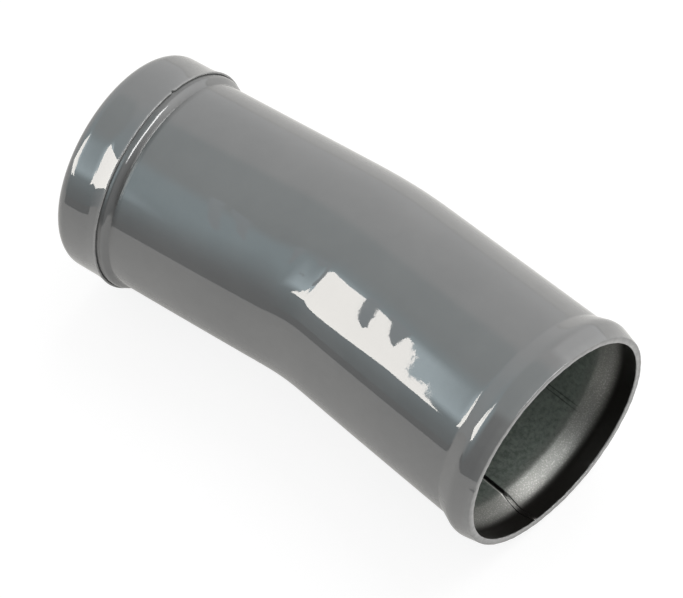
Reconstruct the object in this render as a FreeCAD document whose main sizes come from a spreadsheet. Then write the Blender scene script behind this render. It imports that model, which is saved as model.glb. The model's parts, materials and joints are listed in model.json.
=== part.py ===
"""Filler neck: a bent sheet-steel tube with a hose bead, and the stamped collar pressed on its filler end.

The neck lies on its side as it comes to rest, on the collar's edge, the bead and the outer side of
the bend. X runs along the tube from the collar to the hose mouth, Z is up, the ground is Z = 0 and
the origin is under the middle of the neck. Lengths are in millimetres, angles in degrees.
"""
import FreeCAD
import Part
import Sketcher

import math
import os
import re

from collections import namedtuple

# Driving dimensions: cell name, value, what it measures
DIMENSIONS = [
    ("tube_od", 60.0, "outside diameter of the tube"),
    ("tube_wall", 1.5, "sheet thickness of the tube"),
    ("far_length", 64.5, "collar's outer face to the start of the bend"),
    ("near_length", 61.8, "end of the bend to the hose mouth"),
    ("bend_radius", 90.0, "bend, at the tube's centre line"),
    ("bend_angle", 11.6, "turn of the bend"),
    ("bead_angle", 16.0, "slope of the bead on both sides of its crest"),
    ("bead_setback", 5.45, "hose mouth to the crest of the bead"),
    ("bead_foot_radius", 4.0, "fillet where the bead leaves the tube"),
    ("bead_crest_radius", 5.0, "rounding of the crest, inside the sheet"),
    ("lip_rise", 0.35, "cut lip at the hose mouth above the tube's outer face"),
    ("swell_rise", 0.6, "widening of the tube's end inside the collar"),
    ("shoulder_angle", 24.0, "slope of the tube's shoulder outside the collar"),
    ("shoulder_foot_radius", 3.0, "fillet where the shoulder leaves the tube"),
    ("shoulder_crest_radius", 0.6, "rounding of the shoulder's top, inside the sheet"),
    ("collar_wall", 0.9, "sheet thickness of the collar"),
    ("collar_length", 14.7, "length of the collar"),
    ("collar_turn_radius", 1.9, "turned-in edge of the collar, inside the sheet"),
    ("flare_length", 3.0, "length of the collar's flared edge"),
    ("flare_angle", 12.5, "slope of the collar's flared edge"),
    ("mouth_dia", 53.0, "filler opening in the collar's turned-in face"),
    ("press_gap", 0.05, "play between the collar and the tube's end"),
    ("seam_width", 1.4, "width of the weld seam inside the tube"),
    ("seam_height", 0.1, "height of the weld seam inside the tube"),
]

# Sizes that several outlines share, each a formula of the cells
TUBE_R = "tube_od / 2"
LIP_R = f"({TUBE_R} + lip_rise)"
BEAD_X = "(near_length - bead_setback)"
BEAD_R = f"({LIP_R} + bead_setback * tan(bead_angle))"
COLLAR_EDGE_X = "(far_length - collar_length)"
FLARE_X = f"({COLLAR_EDGE_X} + flare_length)"
FLARE_RISE = "flare_length * tan(flare_angle)"
SWELL_R = f"({TUBE_R} + swell_rise)"
SHOULDER_R = f"({SWELL_R} + {FLARE_RISE})"
COLLAR_TURN_R = "(collar_turn_radius + collar_wall)"
COLLAR_BORE_R = f"({SWELL_R} + press_gap)"
COLLAR_R = f"({COLLAR_BORE_R} + collar_wall)"
COLLAR_EDGE_R = f"({COLLAR_R} + {FLARE_RISE})"
MOUTH_R = "mouth_dia / 2"
BEND_END_X = "bend_radius * sin(bend_angle)"
BEND_END_Y = "bend_radius * (1 - cos(bend_angle))"

# A corner of an outline: where it is and how it is rounded, with None for a sharp one
Corner = namedtuple("Corner", "x y rounding")

# A corner of the tube's outer face: where it is, the slope of the face before and after it, and its
# rounding there, hollow when the face turns upwards
WallCorner = namedtuple("WallCorner", "x y before after rounding hollow")

BEAD_CORNERS = [
    WallCorner(f"({BEAD_X} - ({BEAD_R} - {TUBE_R}) / tan(bead_angle))", TUBE_R, "0", "bead_angle",
               "bead_foot_radius", True),
    WallCorner(BEAD_X, BEAD_R, "bead_angle", "(-bead_angle)", "(bead_crest_radius + tube_wall)", False),
]

SHOULDER_CORNERS = [
    WallCorner(f"({COLLAR_EDGE_X} - ({SHOULDER_R} - {TUBE_R}) / tan(shoulder_angle))", TUBE_R, "0",
               "shoulder_angle", "shoulder_foot_radius", True),
    WallCorner(COLLAR_EDGE_X, SHOULDER_R, "shoulder_angle", "(-flare_angle)",
               "(shoulder_crest_radius + tube_wall)", False),
    WallCorner(FLARE_X, SWELL_R, "(-flare_angle)", "0", None, True),
]

doc = FreeCAD.newDocument("filler_neck")


def make_sheet():
    """Fills the sheet with the driving dimensions, one named cell each."""
    cells = doc.addObject("Spreadsheet::Sheet", "Dimensions")
    for row, (alias, value, meaning) in enumerate(DIMENSIONS, start=1):
        cells.set(f"A{row}", meaning)
        cells.set(f"B{row}", str(value))
        cells.setAlias(f"B{row}", alias)
    doc.recompute()
    return cells


sheet = make_sheet()


def formula(text):
    """Writes a formula of cell names with the sheet's name before each cell."""
    return re.sub(r"[a-z]+(_[a-z]+)+", lambda cell: f"Dimensions.{cell.group(0)}", str(text))


def size(text):
    """Works out a formula of cell names as a number."""
    return float(sheet.evalExpression(formula(text)))


def plane(body, role):
    """Finds one of a body's own origin planes."""
    return next(item for item in body.Origin.OriginFeatures if item.Role == role)


def make_sketch(body, name, role, base=("0", "0", "0"), axis=(0, 0, 1), turn="0"):
    """Starts a sketch on an origin plane, moved and turned in that plane's own directions."""
    sketch = body.newObject("Sketcher::SketchObject", name)
    sketch.AttachmentSupport = (plane(body, role), [""])
    sketch.MapMode = "FlatFace"
    start = FreeCAD.Vector(*[size(text) for text in base])
    rotation = FreeCAD.Rotation(FreeCAD.Vector(*axis), size(turn))
    sketch.AttachmentOffset = FreeCAD.Placement(start, rotation)
    for letter, text in zip("xyz", base):
        sketch.setExpression(f"AttachmentOffset.Base.{letter}", formula(text))
    sketch.setExpression("AttachmentOffset.Rotation.Angle", formula(turn))
    return sketch


def dimension(sketch, kind, where, text):
    """Adds a dimension to a sketch and binds it to a formula of cells."""
    index = sketch.addConstraint(Sketcher.Constraint(kind, *where, size(text)))
    sketch.setExpression(f"Constraints[{index}]", formula(text))


def locate(sketch, geometry, point, x, y):
    """Places a point of a sketch by its distances from the sketch's origin."""
    dimension(sketch, "DistanceX", (-1, 1, geometry, point), x)
    dimension(sketch, "DistanceY", (-1, 1, geometry, point), y)


def draw_circle(sketch, radius):
    """Draws a circle about the sketch's origin."""
    circle = Part.Circle(FreeCAD.Vector(0, 0, 0), FreeCAD.Vector(0, 0, 1), size(radius))
    edge = sketch.addGeometry(circle, False)
    sketch.addConstraint(Sketcher.Constraint("Coincident", edge, 3, -1, 1))
    dimension(sketch, "Radius", (edge,), radius)


def rounded_corner(before, corner, after, radius):
    """Gives an arc that rounds a corner, and whether it turns left."""
    back = (before - corner).normalize()
    ahead = (after - corner).normalize()
    half = math.acos(max(-1.0, min(1.0, back.dot(ahead)))) / 2
    start = corner + back * (radius / math.tan(half))
    end = corner + ahead * (radius / math.tan(half))
    centre = corner + (back + ahead).normalize() * (radius / math.sin(half))
    left = (back * -1).cross(ahead).z > 0
    first, last = (start, end) if left else (end, start)
    angles = [math.atan2(point.y - centre.y, point.x - centre.x) for point in (first, last)]
    circle = Part.Circle(centre, FreeCAD.Vector(0, 0, 1), radius)
    return Part.ArcOfCircle(circle, angles[0], angles[1]), start, end, left


def draw_outline(sketch, corners):
    """Draws a closed outline through its corners, with a tangent arc at each rounded one."""
    points = [FreeCAD.Vector(size(corner.x), size(corner.y), 0) for corner in corners]
    count = len(corners)
    leave = list(points)
    reach = list(points)
    arcs = {}
    for index, corner in enumerate(corners):
        if corner.rounding is not None:
            arc, start, end, left = rounded_corner(
                points[index - 1], points[index], points[(index + 1) % count], size(corner.rounding))
            reach[index] = start
            leave[index] = end
            arcs[index] = (arc, left)
    lines = []
    for index in range(count):
        line = Part.LineSegment(leave[index], reach[(index + 1) % count])
        lines.append(sketch.addGeometry(line, False))
    for index, corner in enumerate(corners):
        line_in = lines[index - 1]
        line_out = lines[index]
        if corner.rounding is None:
            sketch.addConstraint(Sketcher.Constraint("Coincident", line_in, 2, line_out, 1))
            locate(sketch, line_out, 1, corner.x, corner.y)
            continue
        arc, left = arcs[index]
        first, last = (1, 2) if left else (2, 1)
        curve = sketch.addGeometry(arc, False)
        apex = sketch.addGeometry(Part.Point(points[index]), True)
        sketch.addConstraint(Sketcher.Constraint("Tangent", line_in, 2, curve, first))
        sketch.addConstraint(Sketcher.Constraint("Tangent", curve, last, line_out, 1))
        sketch.addConstraint(Sketcher.Constraint("PointOnObject", apex, 1, line_in))
        sketch.addConstraint(Sketcher.Constraint("PointOnObject", apex, 1, line_out))
        dimension(sketch, "Radius", (curve,), corner.rounding)
        locate(sketch, apex, 1, corner.x, corner.y)


def at_depth(corner, depth):
    """Gives the corner of the face that lies a depth under the tube's outer face."""
    step_in = f"({depth}) / cos({corner.before})"
    step_out = f"({depth}) / cos({corner.after})"
    shift = f"(({step_in} - {step_out}) / (tan({corner.before}) - tan({corner.after})))"
    x = f"{corner.x} + {shift}"
    y = f"{corner.y} + {shift} * tan({corner.before}) - {step_in}"
    rounding = None
    if corner.rounding is not None:
        rounding = f"{corner.rounding} {'+' if corner.hollow else '-'} ({depth})"
    return Corner(x, y, rounding)


def wall_strip(corners, end_x, end_r, end_slope, shallow, deep):
    """Lists the outline of the layer of a leg's wall between two depths, from the bend to the leg's end."""
    def face(depth):
        start = Corner("0", f"{TUBE_R} - ({depth})", None)
        end = Corner(end_x, f"{end_r} - ({depth}) / cos({end_slope})", None)
        return [start] + [at_depth(corner, depth) for corner in corners] + [end]

    return face(shallow) + face(deep)[::-1]


def near_strip(shallow, deep):
    """Lists the outline of a layer of the wall along the leg with the bead."""
    return wall_strip(BEAD_CORNERS, "near_length", LIP_R, "bead_angle", shallow, deep)


def far_strip(shallow, deep):
    """Lists the outline of a layer of the wall along the leg that ends inside the collar."""
    end_x = f"far_length - {COLLAR_TURN_R}"
    return wall_strip(SHOULDER_CORNERS, end_x, SWELL_R, "0", shallow, deep)


def revolve(body, sketch, axis, angle):
    """Revolves a sketch of a body about one of the sketch's axes."""
    solid = body.newObject("PartDesign::Revolution", f"{sketch.Name}_turned")
    solid.Profile = sketch
    solid.ReferenceAxis = (sketch, [axis])
    solid.Angle = size(angle)
    solid.setExpression("Angle", formula(angle))
    doc.recompute()
    return solid


def pad_seam(body, sketch):
    """Raises a strip of weld seam evenly to both sides of its sketch."""
    ridge = body.newObject("PartDesign::Pad", f"{sketch.Name}_raised")
    ridge.Profile = sketch
    ridge.SideType = "Symmetric"
    ridge.Length = size("seam_width")
    ridge.setExpression("Length", formula("seam_width"))
    doc.recompute()
    return ridge


def make_tube():
    """Builds the neck's tube: the bend, both legs with their formed ends, and the weld seam inside."""
    body = doc.addObject("PartDesign::Body", "neck_tube")
    body.Label = "neck_tube"
    full_turn = "360"
    half_turn = "180"
    inner_r = f"{TUBE_R} - tube_wall"
    seam_root = "tube_wall / 2"
    seam_top = "tube_wall + seam_height"

    ring = make_sketch(body, "bend_section", "YZ_Plane")
    hinge = Part.LineSegment(
        FreeCAD.Vector(size("bend_radius"), -size(TUBE_R), 0), FreeCAD.Vector(size("bend_radius"), size(TUBE_R), 0))
    hinge_line = ring.addGeometry(hinge, True)
    locate(ring, hinge_line, 1, "bend_radius", f"-{TUBE_R}")
    locate(ring, hinge_line, 2, "bend_radius", TUBE_R)
    draw_circle(ring, TUBE_R)
    draw_circle(ring, inner_r)
    revolve(body, ring, "Axis0", "bend_angle")

    far_wall = make_sketch(body, "far_wall", "XY_Plane", axis=(0, 1, 0), turn=half_turn)
    draw_outline(far_wall, far_strip("0", "tube_wall"))
    revolve(body, far_wall, "H_Axis", full_turn)

    near_wall = make_sketch(body, "near_wall", "XY_Plane", base=(BEND_END_X, BEND_END_Y, "0"), turn="bend_angle")
    draw_outline(near_wall, near_strip("0", "tube_wall"))
    revolve(body, near_wall, "H_Axis", full_turn)

    far_seam = make_sketch(body, "far_seam", "XZ_Plane", axis=(0, 1, 0), turn=half_turn)
    draw_outline(far_seam, far_strip(seam_root, seam_top))
    pad_seam(body, far_seam)

    near_seam = make_sketch(body, "near_seam", "XZ_Plane", base=(BEND_END_X, "0", f"-({BEND_END_Y})"),
                            axis=(0, 1, 0), turn="bend_angle")
    draw_outline(near_seam, near_strip(seam_root, seam_top))
    pad_seam(body, near_seam)

    bend_seam = make_sketch(body, "bend_seam", "YZ_Plane")
    seam_hinge = bend_seam.addGeometry(hinge, True)
    locate(bend_seam, seam_hinge, 1, "bend_radius", f"-{TUBE_R}")
    locate(bend_seam, seam_hinge, 2, "bend_radius", TUBE_R)
    half_width = "seam_width / 2"
    draw_outline(bend_seam, [
        Corner(f"-{half_width}", f"{TUBE_R} - ({seam_top})", None),
        Corner(half_width, f"{TUBE_R} - ({seam_top})", None),
        Corner(half_width, f"{TUBE_R} - {seam_root}", None),
        Corner(f"-{half_width}", f"{TUBE_R} - {seam_root}", None),
    ])
    revolve(body, bend_seam, "Axis0", "bend_angle")
    return body


def make_collar():
    """Builds the stamped collar: a cup over the tube's end with a flared edge, pierced by the filler mouth."""
    body = doc.addObject("PartDesign::Body", "filler_collar")
    body.Label = "filler_collar"
    section = make_sketch(body, "collar_section", "XY_Plane", axis=(0, 1, 0), turn="180")
    inner_face_x = "far_length - collar_wall"
    draw_outline(section, [
        Corner(COLLAR_EDGE_X, f"{COLLAR_BORE_R} + {FLARE_RISE}", None),
        Corner(FLARE_X, COLLAR_BORE_R, None),
        Corner(inner_face_x, COLLAR_BORE_R, "collar_turn_radius"),
        Corner(inner_face_x, "0", None),
        Corner("far_length", "0", None),
        Corner("far_length", COLLAR_R, COLLAR_TURN_R),
        Corner(FLARE_X, COLLAR_R, None),
        Corner(COLLAR_EDGE_X, COLLAR_EDGE_R, None),
    ])
    revolve(body, section, "H_Axis", "360")

    mouth = make_sketch(body, "filler_mouth", "YZ_Plane")
    draw_circle(mouth, MOUTH_R)
    cut = body.newObject("PartDesign::Pocket", "filler_mouth_cut")
    cut.Profile = mouth
    cut.Type = "ThroughAll"
    doc.recompute()
    return body


def rest_rotation():
    """Finds how the neck lies, and how far the ground is below the start of the bend.

    Three rounds touch the ground: the collar's edge, the bead's crest and the outer side of the bend.
    The roll is halved down to the one that brings the bend level with the other two, and each roll
    has the pitch that levels the collar's edge with the bead.
    """
    bend_turn = math.radians(size("bend_angle"))
    bend_radius = size("bend_radius")
    far_way = FreeCAD.Vector(-1, 0, 0)
    near_way = FreeCAD.Vector(math.cos(bend_turn), math.sin(bend_turn), 0)
    middle_way = FreeCAD.Vector(math.cos(bend_turn / 2), math.sin(bend_turn / 2), 0)
    bend_axis = FreeCAD.Vector(0, 0, 1)
    bend_centre = FreeCAD.Vector(0, bend_radius, 0)
    inward = bend_axis.cross(middle_way)
    edge_centre = far_way * size(COLLAR_EDGE_X)
    crest_centre = FreeCAD.Vector(size(BEND_END_X), size(BEND_END_Y), 0) + near_way * size(BEAD_X)
    crest_outer = size("bead_crest_radius + tube_wall")
    crest_r = size(BEAD_R) - crest_outer * (1 / math.cos(math.radians(size("bead_angle"))) - 1)
    span = (crest_centre - edge_centre).dot(middle_way)

    def lowest_of_round(centre, axis, radius, up):
        return centre.dot(up) - radius * math.sqrt(1 - axis.dot(up) ** 2)

    def stance(roll):
        pitch = 0.0
        side_up = inward * math.sin(roll) - bend_axis * math.cos(roll)
        for _ in range(20):
            up = side_up * math.cos(pitch) + middle_way * math.sin(pitch)
            edge = lowest_of_round(edge_centre, far_way, size(COLLAR_EDGE_R), up)
            crest = lowest_of_round(crest_centre, near_way, crest_r, up)
            pitch += (edge - crest) / span
        belly = lowest_of_round(bend_centre, bend_axis, bend_radius, up) - size(TUBE_R)
        return up, edge, belly - edge

    low, high = 0.0, math.pi / 2
    for _ in range(40):
        roll = (low + high) / 2
        up, ground, belly_gap = stance(roll)
        if belly_gap > 0:
            low = roll
        else:
            high = roll
    along = (middle_way - up * middle_way.dot(up)).normalize()
    across = up.cross(along)
    return FreeCAD.Rotation(along, across, up, "ZXY").inverted(), ground


def lay_down(bodies):
    """Lays the bodies on the ground together, with the middle of their box over the origin."""
    rotation, ground = rest_rotation()
    for body in bodies:
        body.Placement = FreeCAD.Placement(FreeCAD.Vector(0, 0, -ground), rotation)
    doc.recompute()
    boxes = [body.Shape.optimalBoundingBox(False) for body in bodies]
    middle_x = (min(box.XMin for box in boxes) + max(box.XMax for box in boxes)) / 2
    middle_y = (min(box.YMin for box in boxes) + max(box.YMax for box in boxes)) / 2
    for body in bodies:
        body.Placement = FreeCAD.Placement(FreeCAD.Vector(-middle_x, -middle_y, -ground), rotation)
    doc.recompute()


def check(bodies):
    """Stops when an object failed or a body is not one whole solid."""
    for item in doc.Objects:
        if "Invalid" in item.State or "Error" in item.State:
            raise RuntimeError(f"{item.Name} failed: {item.State}")
    for body in bodies:
        if body.Shape.isNull() or not body.Shape.isValid():
            raise RuntimeError(f"{body.Label} has no valid shape")
        if len(body.Shape.Solids) != 1:
            raise RuntimeError(f"{body.Label} has {len(body.Shape.Solids)} solids")


def write(bodies):
    """Writes each body's shape to a file named after its label."""
    os.makedirs("parts", exist_ok=True)
    for body in bodies:
        body.Shape.exportStep(f"parts/{body.Label}.step")


neck = [make_tube(), make_collar()]
lay_down(neck)
check(neck)
write(neck)
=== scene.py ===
"""Filler neck: a bent sheet-steel tube in glossy grey enamel, with a hose bead and a pressed-on collar.

The neck lies on a pale floor as it comes to rest. Its sizes are in millimetres along the neck's own
line and are turned into metres of the row frame when a surface is placed. A station is the distance
along that line from the start of the bend, and a turn is the angle about it, from the side that the
neck bends to.
"""
import json
import logging
import math
from dataclasses import dataclass, field
from enum import Enum
from typing import Any, Sequence

import bpy
import numpy as np
from mathutils import Matrix, Vector


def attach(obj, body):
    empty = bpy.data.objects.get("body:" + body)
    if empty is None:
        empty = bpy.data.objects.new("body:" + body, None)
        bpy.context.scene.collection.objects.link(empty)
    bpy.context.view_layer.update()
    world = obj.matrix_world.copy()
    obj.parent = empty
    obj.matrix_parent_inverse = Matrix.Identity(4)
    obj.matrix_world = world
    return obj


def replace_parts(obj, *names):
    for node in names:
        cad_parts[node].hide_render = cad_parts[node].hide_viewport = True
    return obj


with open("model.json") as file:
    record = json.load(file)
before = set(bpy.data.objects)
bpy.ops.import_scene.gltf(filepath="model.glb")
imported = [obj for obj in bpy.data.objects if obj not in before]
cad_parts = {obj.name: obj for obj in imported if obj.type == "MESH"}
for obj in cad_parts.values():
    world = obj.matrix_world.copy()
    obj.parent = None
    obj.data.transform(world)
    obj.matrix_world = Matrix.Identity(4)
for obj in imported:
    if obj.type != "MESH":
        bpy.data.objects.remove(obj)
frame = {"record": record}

LOG = logging.getLogger("filler_neck")
MM = 0.001
FULL_TURN = 2.0 * math.pi
UP = np.array([0.0, 0.0, 1.0])
ACROSS = np.array([0.0, 0.0, 1.0])
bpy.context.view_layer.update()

# Ranges of a noise's value over which a look changes from one end to the other.
WIDE_SPAN = (0.3, 0.7)
NARROW_SPAN = (0.35, 0.65)

Pair = tuple[float, float]
Triple = tuple[float, float, float]
Outline = tuple[Pair, ...]


def held(value: np.ndarray) -> np.ndarray:
    """Holds values between 0 and 1."""
    return np.clip(value, 0.0, 1.0)


class Side(Enum):
    """Which finish a run of a piece's profile takes."""

    PAINTED = 0
    BORE = 1


class Glimpse(Enum):
    """Which rays see a stage card."""

    REFLECTIONS = "reflections"
    EVERYTHING = "everything"


@dataclass(frozen=True)
class NeckPath:
    """The neck's own line: a straight leg, a bend and a second straight leg, in millimetres."""

    far_length: float = 64.5
    bend_start: float = 0.0
    bend_radius: float = 90.0
    bend_angle: float = 11.6
    near_length: float = 61.8

    @property
    def bend_length(self) -> float:
        """Length of the line through the bend."""
        return self.bend_radius * math.radians(self.bend_angle)

    @property
    def lip_station(self) -> float:
        """Station of the cut lip at the hose mouth."""
        return self.bend_start + self.bend_length + self.near_length

    def along_bend(self, station: np.ndarray) -> np.ndarray:
        """Gives how far stations are through the bend, from 0 to 1."""
        return held((station - self.bend_start) / self.bend_length)

    def follow(self, station: np.ndarray) -> tuple[np.ndarray, np.ndarray]:
        """Gives the line's points and directions at stations of any array shape.

        With a = (station - bend start) / bend radius held between 0 and the bend's angle, the tangent
        is (cos a, sin a), and the point is the arc's point plus the tangent times the rest of the station.

        Args:
            station: stations in millimetres.

        Returns:
            Points and directions towards the bend's centre, each with a last axis of 3.
        """
        turned = math.radians(self.bend_angle) * self.along_bend(station)
        rest = station - self.bend_start - self.bend_radius * turned
        cosine, sine, flat = np.cos(turned), np.sin(turned), np.zeros_like(turned)
        tangent = np.stack([cosine, sine, flat], axis=-1)
        inward = np.stack([-sine, cosine, flat], axis=-1)
        ahead = self.bend_start + self.bend_radius * sine
        arc = np.stack([ahead, self.bend_radius * (1.0 - cosine), flat], axis=-1)
        return arc + rest[..., None] * tangent, inward


@dataclass(frozen=True)
class Stance:
    """How the neck lies in the row frame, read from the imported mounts."""

    start: np.ndarray
    along: np.ndarray
    inward: np.ndarray
    across: np.ndarray

    @classmethod
    def from_record(cls, record: dict[str, Any], path: NeckPath, collar_wall: float) -> "Stance":
        """Works out the neck's directions from the axes of its two ends.

        Args:
            record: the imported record.
            path: the neck's own line.
            collar_wall: sheet thickness of the collar, whose middle carries the filler mouth's mount.

        Returns:
            The stance, with its start at the start of the bend.
        """
        mounts = {mount["name"]: mount for mount in record["mounts"]}
        along = -np.array(mounts["filler_mouth"]["axis"], float)
        along /= np.linalg.norm(along)
        near_way = np.array(mounts["hose_spigot"]["axis"], float)
        inward = near_way - along * (near_way @ along)
        inward /= np.linalg.norm(inward)
        mouth = np.array(mounts["filler_mouth"]["pos_m"], float) / MM
        start = mouth + along * (path.far_length - collar_wall / 2.0)
        return cls(start, along, inward, np.cross(along, inward))

    def place(self, points: np.ndarray) -> np.ndarray:
        """Turns millimetres of the neck's own frame into metres of the row frame."""
        axes = np.stack([self.along, self.inward, self.across])
        return (points @ axes + self.start) * MM


@dataclass(frozen=True)
class Corner:
    """A corner of a closed profile, with the finish and the longest step of the run that follows it."""

    station: float
    radius: float
    rounding: float = 0.0
    side: Side = Side.PAINTED
    step: float = 2.4


@dataclass(frozen=True)
class Profile:
    """A closed profile as arrays: stations, radii and the finish after each point."""

    station: np.ndarray
    radius: np.ndarray
    side: np.ndarray

    @classmethod
    def through(cls, corners: Sequence[Corner], arc_step: float) -> "Profile":
        """Joins corners with straight runs and rounds each one with an arc tangent to both runs.

        An arc starts rounding / tan(half angle) before its corner, and its centre stands
        rounding / sin(half angle) from the corner on the line that halves it.

        Args:
            corners: the corners in order round the profile.
            arc_step: largest turn of one step round an arc, in degrees.

        Returns:
            The sampled profile.
        """
        points = np.array([(corner.station, corner.radius) for corner in corners])
        rounding = np.array([corner.rounding for corner in corners])
        back = np.roll(points, 1, axis=0) - points
        back /= np.linalg.norm(back, axis=1, keepdims=True)
        ahead = np.roll(back, -1, axis=0) * -1.0
        half = np.arccos(np.clip(np.sum(back * ahead, axis=1), -1.0, 1.0)) / 2.0
        reach = rounding / np.tan(half)
        middle = back + ahead
        middle /= np.linalg.norm(middle, axis=1, keepdims=True)
        centre = points + middle * (rounding / np.sin(half))[:, None]
        start = points + back * reach[:, None]
        end = points + ahead * reach[:, None]
        swing = np.sign(back[:, 1] * ahead[:, 0] - back[:, 0] * ahead[:, 1]) * (math.pi - 2.0 * half)
        made = []
        sides = []
        for index, corner in enumerate(corners):
            count = max(2, math.ceil(abs(math.degrees(swing[index])) / arc_step)) if corner.rounding else 0
            angle = np.linspace(0.0, swing[index], count + 1)[:, None]
            spoke = start[index] - centre[index]
            side_spoke = np.array([-spoke[1], spoke[0]])
            arc = centre[index] + np.cos(angle) * spoke + np.sin(angle) * side_spoke
            following = start[(index + 1) % len(corners)]
            length = np.linalg.norm(following - end[index])
            share = np.linspace(0.0, 1.0, max(1, math.ceil(length / corner.step)) + 1)[1:-1, None]
            run = end[index] + share * (following - end[index])
            made += [arc, run]
            sides += [corner.side.value] * (len(arc) + len(run))
        line = np.concatenate(made)
        return cls(line[:, 0], line[:, 1], np.array(sides))


@dataclass(frozen=True)
class FineSpot:
    """A turn about which the grid is finer: its middle and reach in radians, and the number of columns."""

    centre: float
    reach: float
    columns: int


def close_up(count: int, spots: Sequence[FineSpot]) -> np.ndarray:
    """Lists turns evenly round the neck, with finer ones about some spots.

    Args:
        count: how many even steps go round.
        spots: where the turns are finer.

    Returns:
        Rising turns from 0 to just under a full turn.
    """
    turns = np.linspace(0.0, FULL_TURN, count, endpoint=False)
    quarter_step = 0.25 * FULL_TURN / count
    for spot in spots:
        fine = spot.centre + np.linspace(-spot.reach, spot.reach, spot.columns)
        kept = turns[np.abs(turns - spot.centre) > spot.reach + quarter_step]
        turns = np.sort(np.concatenate([kept, fine]))
    return turns


def bump(value: np.ndarray, centre: float, width: float) -> np.ndarray:
    """Gives a bell of height 1 about a value: exp(-((value - centre) / width)²)."""
    return np.exp(-((value - centre) / width) ** 2)


def turn_bump(turn: np.ndarray, centre: float, width: float) -> np.ndarray:
    """Gives a bell about a turn, counted the short way round, with centre and width in degrees."""
    apart = np.mod(turn - math.radians(centre) + math.pi, FULL_TURN) - math.pi
    return bump(apart, 0.0, math.radians(width))


@dataclass(frozen=True)
class SoftMark:
    """A soft mark on the neck: its station, turn, reach along the line, spread round it and strength."""

    station: float
    turn: float
    reach: float
    spread: float
    strength: float

    def at(self, station: np.ndarray, turn: np.ndarray) -> np.ndarray:
        """Gives the strength times the bells about the mark's station and turn."""
        along = bump(station, self.station, self.reach)
        return self.strength * along * turn_bump(turn, self.turn, self.spread)


def waves(angle: np.ndarray, counts: Sequence[int], seed: int) -> np.ndarray:
    """Adds cosines round the neck with seeded phases, divided by the root of their number.

    Args:
        angle: turns in radians.
        counts: how many waves each cosine makes in a full turn.
        seed: the seed of the phases.

    Returns:
        The sum at each turn.
    """
    draw = np.random.default_rng(seed)
    phase = draw.uniform(0.0, FULL_TURN, len(counts))
    total = np.cos(angle[..., None] * np.array(counts) + phase).sum(axis=-1)
    return total / math.sqrt(len(counts))


def wrap(path: NeckPath, stance: Stance, station: np.ndarray, turn: np.ndarray,
         radius: np.ndarray) -> tuple[np.ndarray, np.ndarray]:
    """Wraps a grid round the neck's line.

    A point is the line's point plus the radius times (inward cos turn + across sin turn).

    Args:
        path: the neck's own line.
        stance: how the neck lies.
        station: the grid's stations in millimetres.
        turn: its turns in radians.
        radius: its distances from the line in millimetres.

    Returns:
        The points in metres of the row frame, and in metres as they would lie with the neck straightened.
    """
    centre, inward = path.follow(station)
    cosine, sine = np.cos(turn), np.sin(turn)
    spoke = inward * cosine[..., None] + ACROSS * sine[..., None]
    straight = np.stack([station, radius * cosine, radius * sine], axis=-1) * MM
    return stance.place(centre + radius[..., None] * spoke), straight


def make_shell(name: str, points: np.ndarray, profile: Profile, turns: np.ndarray,
               fields: dict[str, np.ndarray]) -> bpy.types.Object:
    """Makes a closed ring-shaped mesh from a grid of points.

    Each face joins rows i and i + 1 and columns j and j + 1, both counted round, so the shell has no
    open edge. The UV map runs round the neck and round the profile.

    Args:
        name: the piece's name.
        points: rows round the profile, columns round the neck, in metres.
        profile: the profile that the rows follow.
        turns: the turn of each column.
        fields: point attributes, numbers or vectors, one entry per grid point.

    Returns:
        The linked object.
    """
    rows, columns = points.shape[:2]
    row = np.arange(rows)[:, None]
    column = np.arange(columns)[None, :]
    next_row = (row + 1) % rows
    next_column = (column + 1) % columns
    grid = np.stack([row * columns + column, row * columns + next_column,
                     next_row * columns + next_column, next_row * columns + column], axis=-1)
    faces = grid.reshape(-1, 4)
    mesh = bpy.data.meshes.new(name)
    mesh.vertices.add(rows * columns)
    mesh.vertices.foreach_set("co", points.astype(np.float32).ravel())
    mesh.loops.add(faces.size)
    mesh.loops.foreach_set("vertex_index", faces.astype(np.int32).ravel())
    mesh.polygons.add(len(faces))
    mesh.polygons.foreach_set("loop_start", np.arange(0, faces.size, 4, dtype=np.int32))
    mesh.polygons.foreach_set("material_index", np.repeat(profile.side, columns).astype(np.int32))
    mesh.polygons.foreach_set("use_smooth", np.ones(len(faces), dtype=bool))

    step = np.hypot(np.diff(profile.station, append=profile.station[0]),
                    np.diff(profile.radius, append=profile.radius[0]))
    v = np.concatenate([[0.0], np.cumsum(step)]) / step.sum()
    u = np.append(turns, FULL_TURN + turns[0]) / FULL_TURN
    u_low, u_high = np.broadcast_arrays(u[None, :-1], u[None, 1:])
    corner_u = np.stack(np.broadcast_arrays(u_low, u_high, u_high, u_low, v[:-1, None])[:4], axis=-1)
    v_low, v_high = v[:-1, None], v[1:, None]
    corner_v = np.stack(np.broadcast_arrays(v_low, v_low, v_high, v_high, u[None, :-1])[:4], axis=-1)
    layer = mesh.uv_layers.new(name="unrolled_map")
    layer.data.foreach_set("uv", np.stack([corner_u, corner_v], axis=-1).astype(np.float32).ravel())
    for key, values in fields.items():
        kind, slot = ("FLOAT_VECTOR", "vector") if values.ndim == 3 else ("FLOAT", "value")
        attribute = mesh.attributes.new(key, kind, "POINT")
        attribute.data.foreach_set(slot, values.astype(np.float32).ravel())
    mesh.update(calc_edges=True)
    mesh.validate()
    piece = bpy.data.objects.new(name, mesh)
    bpy.context.scene.collection.objects.link(piece)
    return piece


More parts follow.
